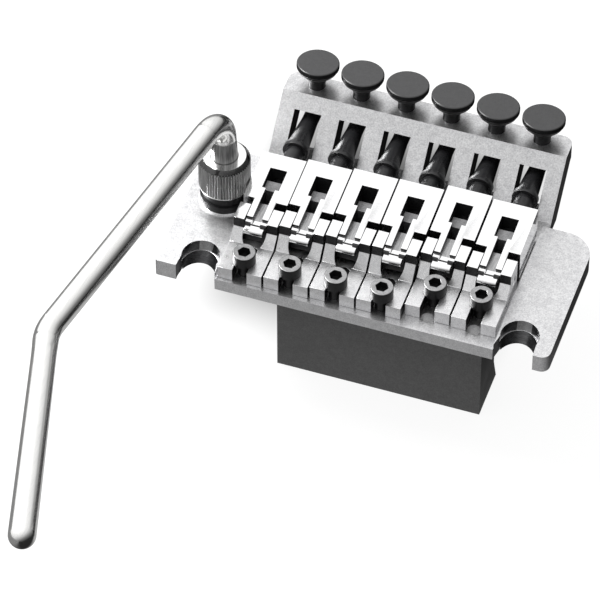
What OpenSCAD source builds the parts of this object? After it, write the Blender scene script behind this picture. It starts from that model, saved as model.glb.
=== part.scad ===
// Double-locking guitar tremolo bridge with six saddles, fine tuners, sustain block and arm.
// The origin is the middle of the knife-edge pivot axis. +X points to the bass side,
// +Y to the fine tuners and +Z away from the guitar's body.

/* [Strings and studs] */
// Distance between neighbouring strings
string_pitch = 10.7; // [10.6:0.05:10.8]
// Distance between the two pivot studs
stud_pitch = 74.3; // [74:0.1:75.2]
// Radius of the arch on which the six strings lie
string_arch_r = 406; // [300:10:800]

/* [Base plate] */
// Thickness of the plate under the saddles
plate_t = 3.3; // [3:0.1:4]
// Thickness of the two wings
wing_t = 4.7; // [4.4:0.1:5.4]
// Bare strip of plate beside each outer saddle
plate_margin = 0.5; // [0.4:0.1:0.7]
// Overall width across the wings
overall_w = 90; // [88:0.2:94]
// How much farther the arm's wing reaches out than the other wing
arm_wing_extra = 1.4; // [1:0.1:2]
// Distance from the pivot axis forward to the front edge
front_reach = 8.3; // [8:0.1:9]
// Distance from the pivot axis back to the rear edge of the wings
wing_reach = 29.3; // [26:0.1:30]
// Radius of the wings' rear corners
wing_corner_r = 6.5; // [3:0.5:8]
// Radius of the wings' front tips
wing_tip_r = 2; // [1:0.2:2.8]
// Radius of the front tip of the arm's wing
arm_tip_r = 0.6; // [0.4:0.1:1.5]
// Radius of the two knife-edge notches
notch_r = 4.35; // [4.1:0.05:4.4]
// Lean of the notch's wall above the knife edge, from the vertical
lean_above = 16; // [8:1:20]
// Lean of the notch's wall below the knife edge, from the vertical
lean_below = 38; // [30:1:42]

/* [Tuner plate] */
// Distance from the pivot axis back to the foot of the tuner plate
web_y = 31.9; // [31.5:0.1:32.5]
// Slope of the tuner plate's front face
web_angle = 46; // [44:1:50]
// Thickness of the tuner plate
web_t = 5.5; // [5:0.1:6]
// Width of the tuner plate
web_w = 67.2; // [66:0.2:70]
// Height of the flat ledge above the plate
ledge_h = 11.05; // [10.8:0.05:12]
// Depth of the flat ledge from front to rear
ledge_l = 6.2; // [6:0.1:8]
// Thickness of the ledge
ledge_t = 4.2; // [3.8:0.1:4.4]
// Radius of the ledge's rear corners
ledge_corner_r = 2.4; // [1:0.2:4]
// Width of the six windows
window_w = 6.4; // [6.3:0.05:7]
// Height of the windows' upper edge above the plate
window_h = 8.2; // [7.6:0.1:8.8]
// Depth of the relief below the plate's surface under each lock screw
relief_d = 1.35; // [1.3:0.05:1.8]

/* [Sustain block] */
// Width of the block
block_w = 48.3; // [44:0.1:52]
// Front to rear thickness of the block's foot
block_t = 12.8; // [12:0.1:14]
// Front to rear thickness of the block above its foot
block_neck_t = 10.6; // [10:0.1:11.5]
// Height over which the block's rear face slopes out to the foot
block_foot_h = 6.8; // [4:0.2:9]
// Height of the block
block_h = 30.9; // [26:0.5:40]
// Sideways place of the block's middle
block_x = 3.2; // [0:0.1:5]
// Distance from the pivot axis back to the block's front face
block_y = 1.1; // [1:0.1:2]
// Distance between the spring holes
spring_hole_pitch = 9.5; // [8:0.1:10.5]
// Diameter of the spring holes
spring_hole_d = 3; // [2.4:0.1:3.6]
// Depth of the spring holes
spring_hole_depth = 11; // [6:0.5:14]
// Distance between the screws that hold the block
block_screw_pitch = 16; // [12:0.5:19]
// Diameter of the screws that hold the block
block_screw_d = 4; // [3.5:0.1:5]
// Length of the screws that hold the block
block_screw_l = 15; // [10:0.5:20]

/* [Saddle feet] */
// Width of each saddle
saddle_w = 10.3; // [10:0.05:10.4]
// Distance of each foot behind the plate's front edge
foot_setback = [0.8, 1.1, 1.5, 1.7, 3.6, 3.4]; // [0.6:0.1:3.8]
// Thickness of the foot
foot_t = 3.5; // [3.2:0.1:3.8]
// Length of the foot's flat top
foot_l = 8.3; // [7.8:0.1:8.6]
// Width of the foot's open slot
slot_w = 3.4; // [3.2:0.1:3.8]
// Distance from the foot's front to the centre of the slot's round end
slot_l = 7.4; // [7.2:0.1:7.6]
// Distance from the foot's front to the ears
ear_y = 11; // [10.8:0.1:11.4]
// Front to rear length of the ears
ear_l = 4.9; // [4.4:0.1:5]
// Height of the ears above the plate
ear_h = 8.5; // [8.3:0.1:8.8]
// Height of the edge where the slope behind the foot meets the ears
ear_root_h = 5.9; // [5:0.1:6.4]
// Diameter of the pivot pin
pin_d = 2.5; // [2:0.1:2.8]
// Height of the pivot pin above the plate
pin_h = 4.6; // [4.4:0.1:4.8]
// Height of the channel floor between the ears
channel_h = 2.4; // [2.2:0.1:2.6]

/* [Saddle blocks] */
// Distance from the foot's front to the wide part of the block
body_y = 17.8; // [17.4:0.1:18]
// Distance from the foot's front to the block's rear face
body_rear = 31.2; // [30.8:0.1:31.4]
// Clearance between the block's underside and the plate
body_lift = 0.9; // [0.85:0.05:1]
// Height of the block's rear edge above the plate
body_h = 9.7; // [9.5:0.1:10.5]
// Fall of the block's top towards the front
body_fall = 1; // [0.6:0.1:1.2]
// Width of the tongue between the ears
tongue_w = 5; // [4.6:0.1:5.2]
// Width of the nose that carries the string
nose_w = 4.3; // [3.8:0.1:4.6]
// Distance from the foot's front to the nose
nose_y = 8.9; // [8.8:0.05:9.2]
// Thickness of the nose
nose_t = 1.5; // [1.2:0.05:1.6]
// Height of the nose's top above the plate
nose_h = 7.3; // [7:0.1:7.6]
// Length of the low step between the nose and the rails beside the string
step_l = 1.7; // [1:0.1:2.4]
// Width of the string slot
string_slot_w = 2.2; // [1.8:0.1:2.6]
// Width of the window for the clamp block
pocket_w = 4; // [3.8:0.1:4.4]
// Distance from the foot's front to the window
pocket_y = 21.2; // [21:0.1:21.3]
// Length of the window
pocket_l = 5.9; // [5.7:0.1:6.2]
// Height of the window's floor above the plate
pocket_floor = 3.2; // [3:0.1:3.4]

/* [Clamp blocks and lock screws] */
// Length of the clamp block
clamp_l = 3; // [2.8:0.1:3.1]
// Height of the clamp block's top above the plate
clamp_h = 7.9; // [7.5:0.1:8.2]
// Height of the lock screw's axis above the plate
lock_h = 4; // [4:0.05:4.2]
// Diameter of the lock screw's thread
lock_d = 4.2; // [3.8:0.1:4.4]
// Diameter of the ring on the lock screw
ring_d = 6; // [5.6:0.1:6.1]
// Distance from the foot's front to the ring
ring_y = 38.2; // [37.8:0.1:38.6]
// Thickness of the ring
ring_t = 1.4; // [1:0.1:1.8]
// Length of the tapered part behind the ring
taper_l = 8.8; // [8:0.1:9.4]
// Diameter of the lock screw's tail
tail_d = 3.8; // [3.6:0.1:3.9]
// Distance from the foot's front to the tail's end
tail_y = 55.5; // [55:0.1:57]
// Size of the lock screw's hexagon socket across its corners
lock_hex = 2.9; // [2.3:0.1:3]

/* [Hold-down screws] */
// Distance of the front row of holes behind the plate's front edge
row_y = 4.2; // [4:0.1:4.4]
// Distance between the two rows of holes
row_pitch = 4.95; // [4.8:0.05:5.1]
// Diameter of the hold-down screws
hold_d = 2.9; // [2.6:0.1:3]
// Diameter of their heads
hold_head_d = 5.2; // [5:0.1:5.6]
// Height of their heads
hold_head_h = 3; // [2.8:0.1:3]
// Size of their hexagon sockets across the corners
hold_hex = 3; // [2.3:0.1:3.2]

/* [Fine tuners] */
// Distance of the tuner screws behind the ledge's front edge
tuner_y = 3.6; // [3.3:0.1:3.7]
// Backward lean of the tuner screws
tuner_lean = 7; // [0:0.5:8]
// Diameter of the tuner screws
tuner_d = 3.9; // [3.6:0.1:4.2]
// Diameter of the knob's head
knob_d = 9.8; // [9:0.1:10.2]
// Height of the knob's top above the ledge
knob_h = 6.5; // [6.2:0.1:8]
// Thickness of the knob's rim
knob_rim_t = 1.5; // [1:0.1:2]
// Diameter of the knob's neck
knob_neck_d = 4.7; // [4.4:0.1:5]
// Height of the knob's neck above the ledge
knob_neck_h = 1.95; // [1.8:0.05:2.2]

/* [Leaf springs] */
// Width of each leaf spring
leaf_w = 4.4; // [3.6:0.1:4.8]
// Thickness of each leaf spring
leaf_t = 0.3; // [0.2:0.05:0.35]
// Distance from the foot's front to the leaf spring
leaf_y = 18; // [17.9:0.1:18.2]
// Length of each leaf spring
leaf_l = 6.8; // [6:0.1:7]
// Rise of the leaf spring's free end
leaf_rise = 0.5; // [0.3:0.05:0.6]

/* [Arm and socket] */
// Gap between the first saddle and the washer round the arm
arm_gap = 0.2; // [0.15:0.05:0.6]
// Distance of the arm's axis behind the pivot axis
arm_y = 14.9; // [14:0.1:18]
// Diameter of the arm
arm_d = 5.6; // [5:0.1:5.8]
// Height of the arm's long part above the wing
arm_h = 27.15; // [25:0.05:32]
// Length from the stem's axis to the elbow
arm_l = 74.4; // [60:0.2:90]
// Length from the elbow to the end
handle_l = 55.5; // [40:0.5:80]
// Diameter of the handle behind the elbow
handle_d1 = 5.4; // [5:0.1:5.8]
// Diameter of the handle at its end
handle_d2 = 5.9; // [5.5:0.1:7]
// Turn of the arm's long part to the left of straight ahead
arm_yaw = 10.7; // [0:0.1:25]
// Turn of the handle at the elbow
elbow_angle = 26.5; // [10:0.1:40]
// Radius of the bend over the stem
bend_r = 8; // [7:0.5:12]
// Radius of the elbow
elbow_r = 11; // [8:0.5:20]
// Diameter of the arm's thick root
root_d = 6.2; // [6:0.1:6.6]
// Length over which the root narrows to the arm's diameter
root_l = 5.5; // [4:0.5:8]
// Diameter of the collar nut
collar_d = 11.8; // [11.4:0.1:12.2]
// Height of the collar nut
collar_h = 8.9; // [8:0.1:9.5]
// Number of flutes round the collar nut
collar_flutes = 56; // [30:2:60]
// Diameter of the bush above the wing
socket_d = 11.3; // [10.8:0.1:11.6]
// Diameter of the bush's upper step
step_d = 10.4; // [10:0.1:10.6]
// Height of the bush above its washer
socket_h = 4; // [3:0.05:4.5]
// Diameter of the bush's threaded barrel
barrel_d = 10; // [9.4:0.1:10]
// Length of the barrel below the wing
barrel_l = 5; // [4:0.1:7]
// Diameter of the washer under the bush
washer_d = 11.8; // [11.6:0.1:13]
// Thickness of the washer under the bush
washer_t = 0.5; // [0.4:0.1:0.8]
// Width of the socket nut across its corners
socket_nut_d = 15; // [14.5:0.1:16]
// Thickness of the socket nut
socket_nut_t = 3; // [2.5:0.1:3.5]

/* [Hidden] */
$fn = 48;

// Numbers of strings, and the row of holes that each saddle's screw uses
last_string = 5;
screw_row = [0, 0, 0, 0, 1, 1];

// Clearances: radial running fit, fit within one body, sliding gap, and what a cut passes its face by
run_gap = 0.05;
seat_gap = 0.02;
slide_gap = 0.03;
side_gap = 0.15;
cut = 1;
edge_step = 0.1; // the walls over a notch's edge stand this far behind the edge

// Heights and places of the plate, the wings and the ledge
wing_top = wing_t / 2;
plate_bottom = -wing_t / 2;
plate_top = plate_bottom + plate_t;
plate_half = string_x(last_string) + saddle_w / 2 + plate_margin;
arm_x = string_x(last_string) + saddle_w / 2 + arm_gap + washer_d / 2;
ledge_top = plate_top + ledge_h;
ledge_y = web_y + ledge_h / tan(web_angle);
web_run = web_t / sin(web_angle);

// Colours
nickel = [0.80, 0.80, 0.80];
chrome = [0.90, 0.90, 0.91];
black = [0.10, 0.10, 0.11];
grey = [0.30, 0.30, 0.31];

// X of a string, and how far its saddle is raised to follow the arch
function string_x(i) = (i - last_string / 2) * string_pitch;
function sag(i) = string_arch_r - sqrt(pow(string_arch_r, 2) - pow(string_x(i), 2));
function arch_lift(i) = sag(last_string) - sag(i);

// Puts its children at the front of a saddle's foot, on the plate's surface
module at_saddle(i) {
    translate([string_x(i), -front_reach + foot_setback[i], plate_top])
        children();
}

// Extrudes a side view, given as [distance back, height], across a width
module across(w) {
    rotate([90, 0, 90])
        linear_extrude(w, center = true)
            children();
}

// Turns a shape drawn along +Z so that it points back along +Y
module backwards() {
    rotate([-90, 0, 0])
        children();
}

// A slot from y1 to y2 with a round rear end
module round_slot(w, y1, y2, z1, z2) {
    translate([-w / 2, y1, z1])
        cube([w, y2 - y1, z2 - z1]);
    translate([0, y2, z1])
        cylinder(h = z2 - z1, d = w);
}

// Outline of a wing that reaches out to x2, seen from above
module wing_outline(x2, tip_r) {
    x1 = plate_half - cut;
    difference() {
        translate([x1, -front_reach])
            square([x2 - x1, front_reach + wing_reach]);
        corner_cut([x2 - wing_corner_r, wing_reach - wing_corner_r], wing_corner_r, 1);
        corner_cut([x2 - tip_r, -front_reach + tip_r], tip_r, -1);
    }
}

// What a rounded corner takes off an outline, at the rear (side 1) or the front (side -1)
module corner_cut(centre, r, side) {
    translate(centre)
        scale([1, side])
            difference() {
                square(r + cut);
                circle(r);
            }
}

// Both wings at a level, up to a height
module wings(z1, z2) {
    for (side = [0, 1])
        mirror([side, 0, 0])
            translate([0, 0, z1])
                linear_extrude(z2 - z1)
                    wing_outline(overall_w / 2 + side * arm_wing_extra, side == 1 ? arm_tip_r : wing_tip_r);
}

// The cut of one knife-edge notch: a leaning half-round wall under the edge, and another one
// a small step behind it over the edge. The front is cut a little askew, across both walls,
// so that no flat of it is tangent to them
module notch() {
    translate([stud_pitch / 2, 0, 0]) {
        translate([0, edge_step, 0])
            half_notch(lean_above, 0);
        half_notch(lean_below, -wing_t);
        translate([0, 0, plate_bottom - cut])
            linear_extrude(wing_t + 2 * cut)
                polygon([[-0.95 * notch_r, -1.13 * notch_r],
                    [-1.15 * notch_r, -front_reach - cut],
                    [notch_r, -front_reach - cut],
                    [0.95 * notch_r, -1.13 * notch_r]]);
    }
}

// A leaning round cutter, kept between z and one wing's thickness above it
module half_notch(lean, z) {
    intersection() {
        rotate([-lean, 0, 0])
            translate([0, -notch_r, 0])
                cylinder(h = 6 * wing_t, r = notch_r, center = true);
        translate([-2 * notch_r, -4 * notch_r, z])
            cube([4 * notch_r, 8 * notch_r, wing_t]);
    }
}

// Side view of the tuner plate and its ledge
module web_profile() {
    back = ledge_y + ledge_l;
    under = ledge_top - ledge_t;
    rear_x = ledge_y + web_run;
    polygon([[web_y - plate_t / tan(web_angle), plate_bottom],
        [web_y, plate_top],
        [ledge_y, ledge_top],
        [back, ledge_top],
        [back, under],
        [rear_x - ledge_t / tan(web_angle), under],
        [web_y + web_run - plate_t / tan(web_angle), plate_bottom]]);
}

// One window of the tuner plate, with the relief in front of it
module window_cut() {
    top_y = web_y + window_h / tan(web_angle);
    under = ledge_top - ledge_t;
    translate([-window_w / 2, ring_y - front_reach - 2.4, plate_top - relief_d])
        cube([window_w, ledge_y + ledge_l, under - plate_top + relief_d]);
    translate([0, top_y, plate_top + window_h])
        rotate([web_angle, 0, 0])
            translate([-window_w / 2, -window_h, -web_t * 0.8])
                cube([window_w, window_h, web_t * 2]);
}

// Puts its children at the top of a tuner screw's hole, leaning with the screw
module at_tuner(i) {
    translate([string_x(i), ledge_y + tuner_y, ledge_top])
        rotate([-tuner_lean, 0, 0])
            children();
}

module base_plate() {
    color(nickel)
        difference() {
            union() {
                translate([-plate_half - cut, -front_reach, plate_bottom])
                    cube([2 * (plate_half + cut), front_reach + web_y, plate_t]);
                wings(plate_bottom, plate_top);
                difference() {
                    wings(plate_top - seat_gap, wing_top);
                    translate([-plate_half, -front_reach - cut, plate_top])
                        cube([2 * plate_half, front_reach + wing_reach + 2 * cut, wing_t]);
                }
                intersection() {
                    across(web_w)
                        web_profile();
                    ledge_plan();
                }
            }
            for (side = [0, 1])
                mirror([side, 0, 0])
                    notch();
            for (i = [0 : last_string]) {
                translate([string_x(i), 0, 0])
                    window_cut();
                at_tuner(i)
                    cylinder(h = 4 * ledge_t, d = tuner_d + 2 * run_gap, center = true);
                for (row = [0, 1])
                    translate([string_x(i), hole_y(row), plate_bottom - cut])
                        cylinder(h = plate_t + 2 * cut, d = hold_d + 2 * run_gap);
                at_saddle(i)
                    leaf_screw(seat_gap);
            }
            at_block_screws()
                countersunk(seat_gap);
            translate([-arm_x, arm_y, plate_bottom - cut])
                cylinder(h = wing_t + 2 * cut, d = barrel_d + 2 * run_gap);
        }
}

// Plan view that rounds the rear corners of the ledge
module ledge_plan() {
    y2 = ledge_y + ledge_l;
    translate([0, 0, plate_bottom - cut])
        linear_extrude(ledge_top - plate_bottom + 2 * cut)
            difference() {
                translate([-web_w / 2, 0])
                    square([web_w, y2]);
                for (side = [-1, 1])
                    scale([side, 1])
                        corner_cut([web_w / 2 - ledge_corner_r, y2 - ledge_corner_r], ledge_corner_r, 1);
            }
}

// Y of a row of hold-down holes
function hole_y(row) = -front_reach + row_y + row * row_pitch;

// Puts its children at each block screw, on the plate's surface
module at_block_screws() {
    for (n = [-1, 0, 1])
        translate([block_x + n * block_screw_pitch, block_y + block_neck_t / 2, plate_top])
            children();
}

// A countersunk screw below the plate's surface, or its hole when a gap is given
module countersunk(gap) {
    head_d = block_screw_d * 1.9;
    sink = 0.4;
    cone_h = (head_d - block_screw_d) / 2;
    rotate_extrude()
        polygon([[0, gap > 0 ? cut : -sink],
            [head_d / 2 + gap, gap > 0 ? cut : -sink],
            [head_d / 2 + gap, -sink],
            [block_screw_d / 2 + gap, -sink - cone_h],
            [block_screw_d / 2 + gap, -block_screw_l - gap],
            [0, -block_screw_l - gap]]);
}

module sustain_block() {
    color(grey)
        difference() {
            translate([block_x, block_y, plate_bottom])
                across(block_w)
                    polygon([[0, 0],
                        [0, -block_h],
                        [block_t, -block_h],
                        [block_neck_t, block_foot_h - block_h],
                        [block_neck_t, 0]]);
            at_block_screws()
                countersunk(seat_gap);
            for (n = [-2 : 2])
                translate([block_x + n * spring_hole_pitch, block_y + block_t / 2,
                    plate_bottom - block_h - cut])
                    cylinder(h = spring_hole_depth + cut, d = spring_hole_d);
        }
}

module block_screws() {
    color(black)
        at_block_screws()
            difference() {
                countersunk(0);
                translate([0, 0, -1.8])
                    cylinder(h = 2, d = hold_hex, $fn = 6);
            }
}

module hold_down_screws() {
    head_z = plate_top + foot_t + 2 * slide_gap;
    head_top = head_z + hold_head_h;
    head_r = hold_head_d / 2;
    soft = 0.25;
    color(black)
        for (i = [0 : last_string])
            translate([string_x(i), hole_y(screw_row[i]), 0])
                difference() {
                    union() {
                        translate([0, 0, plate_bottom])
                            cylinder(h = head_z - plate_bottom + cut, d = hold_d);
                        rotate_extrude()
                            polygon([[0, head_z],
                                [head_r, head_z],
                                for (a = [0 : 22.5 : 90])
                                    [head_r - soft + soft * cos(a), head_top - soft + soft * sin(a)],
                                [0, head_top]]);
                    }
                    translate([0, 0, head_top - hold_head_h * 0.6])
                        cylinder(h = hold_head_h, d = hold_hex, $fn = 6);
                }
}

module saddle_base(i) {
    lift = arch_lift(i);
    top = ear_h + lift;
    rear = ear_y + ear_l;
    hollow_y = slot_l + hold_head_d / 2 + side_gap;
    hollow_d = tongue_w + 2 * side_gap;
    color(chrome)
        at_saddle(i)
            difference() {
                across(saddle_w)
                    polygon([[0, slide_gap],
                        [rear, slide_gap],
                        [rear, top],
                        [ear_y, top],
                        [ear_y - 0.1, ear_root_h + lift],
                        [foot_l, foot_t],
                        [0, foot_t]]);
                round_slot(slot_w, -cut, slot_l, -cut, foot_t + cut);
                translate([0, hollow_y, channel_h])
                    cylinder(h = top, d = hollow_d);
                translate([-hollow_d / 2, hollow_y, channel_h])
                    cube([hollow_d, rear, top]);
                translate([0, pin_y(), pin_h + lift])
                    across(saddle_w + 2 * cut)
                        circle(d = pin_d + 2 * seat_gap);
            }
}

// Distance from a foot's front to its pivot pin
function pin_y() = ear_y + ear_l / 2;

module pivot_pin(i) {
    color(chrome)
        at_saddle(i)
            translate([0, pin_y(), pin_h + arch_lift(i)])
                across(saddle_w - 2 * side_gap)
                    circle(d = pin_d);
}

// Height of a saddle block's top above the plate, before the arch's lift
function top_at(y) = body_h - body_fall * (body_rear - y) / (body_rear - body_y);

module saddle_block(i) {
    lift = arch_lift(i);
    leaf_top = leaf_rise + leaf_t;
    leaf_side = 0.5;
    leaf_sink = 0.6;
    leaf_slide = 1.9;
    tongue_front = slot_l + hold_head_d / 2 + 5 * side_gap;
    step_y = tongue_front + step_l;
    step_h = nose_h + 3 * side_gap;
    color(chrome)
        at_saddle(i)
            difference() {
                translate([0, 0, lift])
                    union() {
                        across(saddle_w)
                            polygon([[body_y, body_lift - lift],
                                [body_rear, body_lift - lift],
                                [body_rear, body_h],
                                [body_y, body_h - body_fall]]);
                        across(tongue_w)
                            polygon([[tongue_front, channel_h + side_gap],
                                [body_y + cut, channel_h + side_gap],
                                [body_y + cut, top_at(body_y + cut)],
                                [step_y, top_at(step_y)],
                                [step_y, step_h],
                                [tongue_front, step_h]]);
                        across(nose_w)
                            union() {
                                translate([nose_y + nose_t / 2, nose_h - nose_t])
                                    square([tongue_front + cut - nose_y, nose_t]);
                                translate([nose_y + nose_t / 2, nose_h - nose_t / 2])
                                    circle(d = nose_t);
                            }
                    }
                string_slot(tongue_front, lift);
                translate([-pocket_w / 2, pocket_y, pocket_floor])
                    cube([pocket_w, pocket_l, body_h + lift]);
                translate([0, lock_front() - run_gap, lock_h])
                    backwards()
                        cylinder(h = body_rear, d = lock_d + 2 * run_gap);
                translate([-leaf_w / 2 - leaf_side, body_y - cut, 0])
                    cube([leaf_w + 2 * leaf_side, leaf_y + leaf_l + leaf_slide - body_y + cut,
                        leaf_top + leaf_sink]);
                translate([0, pin_y(), pin_h + lift])
                    across(saddle_w)
                        circle(d = pin_d + 2 * run_gap);
            }
}

// The slot in which the string runs from the window over the tongue
module string_slot(front, lift) {
    deep_y = pocket_y - 2;
    across(string_slot_w)
        polygon([[front - cut, nose_h + lift],
            [front, nose_h + lift],
            [deep_y - 1, nose_h + lift - 0.4],
            [deep_y, pocket_floor + 1.4],
            [pocket_y + cut, pocket_floor + 1.4],
            [pocket_y + cut, body_h + lift + cut],
            [front - cut, body_h + lift + cut]]);
}

// Distance from a foot's front to the front of the lock screw
function lock_front() = pocket_y + 2 * side_gap + clamp_l + run_gap;

module clamp_block(i) {
    color(grey)
        at_saddle(i)
            translate([-pocket_w / 2 + side_gap, pocket_y + 2 * side_gap, pocket_floor + side_gap])
                cube([pocket_w - 2 * side_gap, clamp_l, clamp_h - pocket_floor - side_gap]);
}

module lock_screw(i) {
    front = lock_front();
    taper_y = ring_y + ring_t;
    bevel = 0.4;
    socket_l = 3;
    color(black)
        at_saddle(i)
            translate([0, 0, lock_h])
                backwards()
                    difference() {
                        rotate_extrude()
                            polygon([[0, front],
                                [lock_d / 2 - 2 * bevel, front],
                                [lock_d / 2, front + 2 * bevel],
                                [lock_d / 2, ring_y],
                                [ring_d / 2, ring_y],
                                [ring_d / 2, taper_y],
                                [ring_d / 2 - bevel, taper_y],
                                [tail_d / 2, taper_y + taper_l],
                                [tail_d / 2, tail_y - bevel],
                                [tail_d / 2 - bevel, tail_y],
                                [0, tail_y]]);
                        translate([0, 0, tail_y - socket_l])
                            cylinder(h = socket_l + cut, d = lock_hex, $fn = 6);
                    }
}

module tuner_screw(i) {
    tip_gap = 0.25;
    point = 1;
    tip = -(ledge_h - lock_h - tail_d / 2 - tip_gap) / cos(tuner_lean);
    color(black)
        at_tuner(i)
            rotate_extrude()
                polygon([[0, tip],
                    [tuner_d / 2 - point, tip],
                    [tuner_d / 2, tip + point],
                    [tuner_d / 2, knob_neck_h - run_gap],
                    [spigot_r(), knob_neck_h - run_gap],
                    [spigot_r(), knob_h - knob_rim_t],
                    [0, knob_h - knob_rim_t]]);
}

// Radius of the end of the tuner screw inside its knob
function spigot_r() = tuner_d / 2 - 0.45;

module tuner_knob(i) {
    bevel = 0.25;
    rim_z = knob_h - knob_rim_t;
    bore_r = spigot_r() + run_gap;
    color(black)
        at_tuner(i)
            rotate_extrude()
                polygon([[bore_r, knob_neck_h],
                    [knob_neck_d / 2, knob_neck_h],
                    [knob_neck_d / 2, knob_neck_h + (rim_z - knob_neck_h) / 5],
                    [knob_d * 0.36, rim_z - (rim_z - knob_neck_h) / 2],
                    [knob_d * 0.45, rim_z - (rim_z - knob_neck_h) / 5],
                    [knob_d / 2 - bevel, rim_z],
                    [knob_d / 2, rim_z + bevel],
                    [knob_d / 2, knob_h - bevel],
                    [knob_d / 2 - bevel, knob_h],
                    [0, knob_h],
                    [0, rim_z + run_gap],
                    [bore_r, rim_z + run_gap]]);
}

module leaf_springs() {
    flat = leaf_l * 0.4;
    color(nickel)
        for (i = [0 : last_string])
            at_saddle(i)
                difference() {
                    across(leaf_w)
                        polygon([[leaf_y, 0],
                            [leaf_y + flat, 0],
                            [leaf_y + leaf_l, leaf_rise],
                            [leaf_y + leaf_l, leaf_rise + leaf_t],
                            [leaf_y + flat, leaf_t],
                            [leaf_y, leaf_t]]);
                    leaf_screw(run_gap);
                }
}

// A leaf spring's screw, or its hole when a gap is given
module leaf_screw(gap) {
    screw_d = 1.6;
    head_d = 2.4;
    head_h = 0.6;
    depth = plate_t - 0.8;
    translate([0, leaf_y + leaf_l * 0.2, 0]) {
        translate([0, 0, -depth - gap])
            cylinder(h = depth + gap + leaf_t + (gap > 0 ? cut : 0), d = screw_d + 2 * gap);
        if (gap == 0)
            translate([0, 0, leaf_t])
                cylinder(h = head_h, d = head_d);
    }
}

module leaf_spring_screws() {
    color(black)
        for (i = [0 : last_string])
            at_saddle(i)
                leaf_screw(0);
}

// Puts its children on the arm's axis at the top of the wing
module at_socket() {
    translate([-arm_x, arm_y, wing_top])
        children();
}

// A ring between two radii and two heights
module ring(r1, r2, z1, z2) {
    rotate_extrude()
        translate([r1, z1])
            square([r2 - r1, z2 - z1]);
}

module socket_washer() {
    color(chrome)
        at_socket()
            ring(barrel_d / 2 + run_gap, washer_d / 2, 0, washer_t);
}

// Heights above the wing of the bush's rim and spigot, and of what the collar nut holds down
bush_rim_z = washer_t + socket_h;
spigot_l = 2.8;
spigot_z = bush_rim_z + spigot_l;
flange_t = 1.25;
ring_z = spigot_z + flange_t + 2 * run_gap;
thrust_t = 1.1;
collar_z = bush_rim_z + 0.2;

module arm_socket() {
    color(black)
        at_socket()
            rotate_extrude()
                polygon([[arm_d / 2 + run_gap, -wing_t - barrel_l],
                    [barrel_d / 2, -wing_t - barrel_l],
                    [barrel_d / 2, washer_t],
                    [socket_d / 2, washer_t],
                    [socket_d / 2, washer_t + socket_h * 0.4],
                    [step_d / 2, washer_t + socket_h * 0.4],
                    [step_d / 2, bush_rim_z],
                    [collar_bore_r() - 0.2, bush_rim_z],
                    [collar_bore_r() - 0.2, spigot_z],
                    [arm_d / 2 + run_gap, spigot_z]]);
}

// Radius of the collar nut's cavity
function collar_bore_r() = collar_d / 2 - 1.3;

module socket_nut() {
    color(nickel)
        at_socket()
            translate([0, 0, -wing_t - socket_nut_t])
                difference() {
                    cylinder(h = socket_nut_t, d = socket_nut_d, $fn = 6);
                    translate([0, 0, -cut])
                        cylinder(h = socket_nut_t + 2 * cut, d = barrel_d + 2 * run_gap);
                }
}

module thrust_ring() {
    color([0.92, 0.91, 0.88])
        at_socket()
            ring(root_d / 2 + 2 * run_gap, collar_bore_r() - run_gap, ring_z, ring_z + thrust_t);
}

module collar_nut() {
    top = collar_z + collar_h;
    bevel_w = 1;
    bevel_h = 1.1;
    flute_top = top - bevel_h + 0.2;
    flute_d = 0.4;
    ceiling = ring_z + thrust_t + run_gap;
    hole_r = root_d / 2 + 2 * run_gap;
    color(nickel)
        at_socket()
            difference() {
                rotate_extrude()
                    polygon([[collar_bore_r(), collar_z],
                        [collar_d / 2 - 0.2, collar_z],
                        [collar_d / 2, collar_z + 0.2],
                        [collar_d / 2, top - bevel_h],
                        [collar_d / 2 - bevel_w, top],
                        [hole_r, top],
                        [hole_r, ceiling],
                        [collar_bore_r(), ceiling]]);
                for (n = [1 : collar_flutes])
                    rotate([0, 0, n * 360 / collar_flutes])
                        translate([collar_d / 2, 0, collar_z + 0.5])
                            rotate([0, 0, 45])
                                linear_extrude(flute_top - collar_z - 0.5)
                                    square(flute_d, center = true);
            }
}

module arm() {
    r = arm_d / 2;
    lap = 0.05;
    bent_r = r - 0.01;
    tangent = elbow_r * tan(elbow_angle / 2);
    root_z = collar_z + collar_h;
    color(chrome)
        at_socket() {
            rotate_extrude()
                polygon([[0, -wing_t - barrel_l + 1],
                    [r, -wing_t - barrel_l + 1],
                    [r, spigot_z + run_gap],
                    [collar_bore_r() - 0.35, spigot_z + run_gap],
                    [collar_bore_r() - 0.35, spigot_z + run_gap + flange_t],
                    [root_d / 2, spigot_z + run_gap + flange_t],
                    [root_d / 2, root_z],
                    [r, root_z + root_l],
                    [r, arm_h - bend_r + lap],
                    [0, arm_h - bend_r + lap]]);
            translate([0, 0, arm_h])
                rotate([0, 0, 180 - arm_yaw]) {
                    translate([0, bend_r, -bend_r])
                        rotate([90, 0, 90])
                            rotate([0, 0, 90])
                                tube_arc(bend_r, bent_r, 90);
                    translate([0, bend_r - lap, 0])
                        backwards()
                            cylinder(h = arm_l - tangent - bend_r + 2 * lap, r = r);
                    translate([-elbow_r, arm_l - tangent, 0]) {
                        tube_arc(elbow_r, bent_r, elbow_angle);
                        rotate([0, 0, elbow_angle])
                            translate([elbow_r, -lap, 0])
                                backwards()
                                    handle(handle_l - tangent);
                    }
                }
        }
}

// The straight handle with its domed end
module handle(l) {
    neck = 4;
    r2 = handle_d2 / 2;
    rotate_extrude()
        union() {
            polygon([[0, 0],
                [arm_d / 2, 0],
                [arm_d / 2, 0.1],
                [handle_d1 / 2, neck],
                [r2, l],
                [0, l]]);
            intersection() {
                translate([0, l])
                    circle(r2);
                translate([0, l - cut])
                    square([r2, r2 + 2 * cut]);
            }
        }
}

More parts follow.
